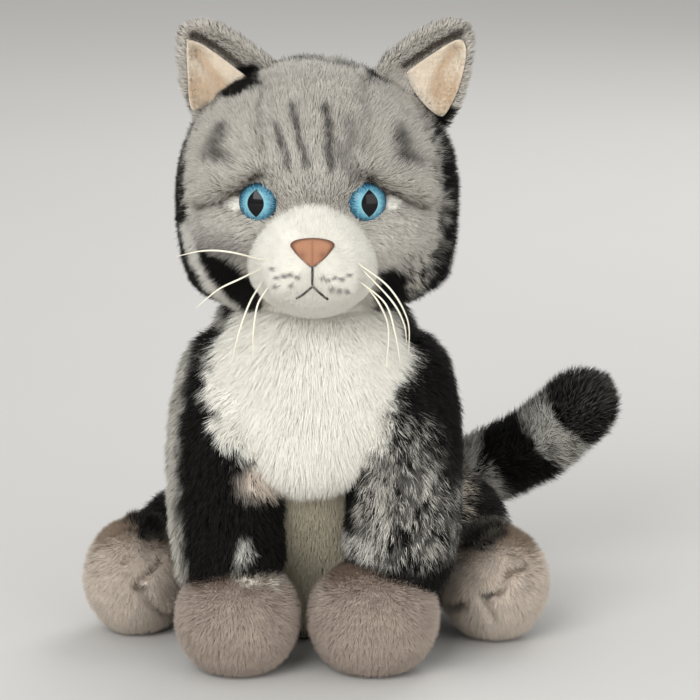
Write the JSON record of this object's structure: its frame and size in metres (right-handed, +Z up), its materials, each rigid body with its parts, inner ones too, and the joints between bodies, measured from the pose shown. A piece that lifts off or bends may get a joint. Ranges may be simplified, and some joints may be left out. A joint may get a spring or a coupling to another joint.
{
  "type": "plush cat",
  "caption": "Sitting plush cat of sewn fabric panels over fibre stuffing, with a weighted seat, plastic eyes, bristle whiskers and a banded tail.",
  "frame": {"origin": "the middle of the flat base panel that the cat sits on", "axes": "+Z up, -Y the way the cat looks, +X towards the cat's own left side"},
  "size_m": [0.2296, 0.1856, 0.2645],
  "materials": {
    "gray_pile": "matte",
    "black_pile": "matte",
    "white_pile": "matte",
    "taupe_pile": "matte",
    "cream_plush": "matte",
    "nose_suede": "matte",
    "black_thread": "satin",
    "whisker_bristle": "satin",
    "eye_plastic": "gloss",
    "washer_plastic": "satin",
    "fibre_stuffing": "matte",
    "pellet_bag": "matte"
  },
  "bodies": {
    "torso": {"base_panel": "gray_pile", "belly_panel": "white_pile", "chest_bib": "white_pile", "hind_foot_left": "taupe_pile", "hind_foot_right": "taupe_pile", "hind_foot_stuffing_left": "fibre_stuffing", "hind_foot_stuffing_right": "fibre_stuffing", "hind_leg_sleeve_left": "black_pile", "hind_leg_sleeve_right": "black_pile", "hind_leg_stuffing_left": "fibre_stuffing", "hind_leg_stuffing_right": "fibre_stuffing", "pellet_bag": "pellet_bag", "side_panel_left": "black_pile", "side_panel_right": "black_pile", "torso_stuffing": "fibre_stuffing"},
    "neck": {"neck_stuffing": "fibre_stuffing"},
    "head": {"ear_lining_left": "cream_plush", "ear_lining_right": "cream_plush", "ear_shell_left": "gray_pile", "ear_shell_right": "gray_pile", "eye_left": "eye_plastic", "eye_right": "eye_plastic", "eye_washer_left": "washer_plastic", "eye_washer_right": "washer_plastic", "head_back_panel": "black_pile", "head_cheek_panel_left": "gray_pile", "head_cheek_panel_right": "gray_pile", "head_chin_panel": "gray_pile", "head_crown_panel": "gray_pile", "head_stuffing": "fibre_stuffing", "mouth_smile_thread": "black_thread", "mouth_stem_thread": "black_thread", "muzzle_panel": "white_pile", "muzzle_stuffing": "fibre_stuffing", "nose": "nose_suede", "whisker_left_1": "whisker_bristle", "whisker_left_2": "whisker_bristle", "whisker_left_3": "whisker_bristle", "whisker_left_4": "whisker_bristle", "whisker_right_1": "whisker_bristle", "whisker_right_2": "whisker_bristle", "whisker_right_3": "whisker_bristle", "whisker_right_4": "whisker_bristle"},
    "front_leg_left": {"front_leg_sleeve_left": "black_pile", "front_leg_stuffing_left": "fibre_stuffing", "front_paw_left": "taupe_pile", "front_paw_stuffing_left": "fibre_stuffing"},
    "front_leg_right": {"front_leg_sleeve_right": "black_pile", "front_leg_stuffing_right": "fibre_stuffing", "front_paw_right": "taupe_pile", "front_paw_stuffing_right": "fibre_stuffing"},
    "tail": {"tail_sleeve": "black_pile", "tail_stuffing": "fibre_stuffing"}
  },
  "joints": [
    {"name": "head_turn", "type": "hinge", "parent": "torso", "child": "neck", "pos_m": [0, -0.038, 0.147], "axis": [0, 0, 1], "range_deg": [-25, 25], "stiffness_Nm_per_rad": 0.6},
    {"name": "head_nod", "type": "hinge", "parent": "neck", "child": "head", "pos_m": [0, -0.038, 0.147], "axis": [1, 0, 0], "range_deg": [-8, 10], "stiffness_Nm_per_rad": 2},
    {"name": "front_leg_left_swing", "type": "hinge", "parent": "torso", "child": "front_leg_left", "pos_m": [0.0375, -0.048, 0.119], "axis": [-1, 0, 0], "range_deg": [-6, 20], "stiffness_Nm_per_rad": 1.5},
    {"name": "front_leg_right_swing", "type": "hinge", "parent": "torso", "child": "front_leg_right", "pos_m": [-0.0375, -0.048, 0.119], "axis": [-1, 0, 0], "range_deg": [-6, 20], "stiffness_Nm_per_rad": 1.5},
    {"name": "tail_lift", "type": "hinge", "parent": "torso", "child": "tail", "pos_m": [0.012, 0.035, 0.04], "axis": [0, -1, 0], "range_deg": [-10, 30], "stiffness_Nm_per_rad": 0.8}
  ]
}
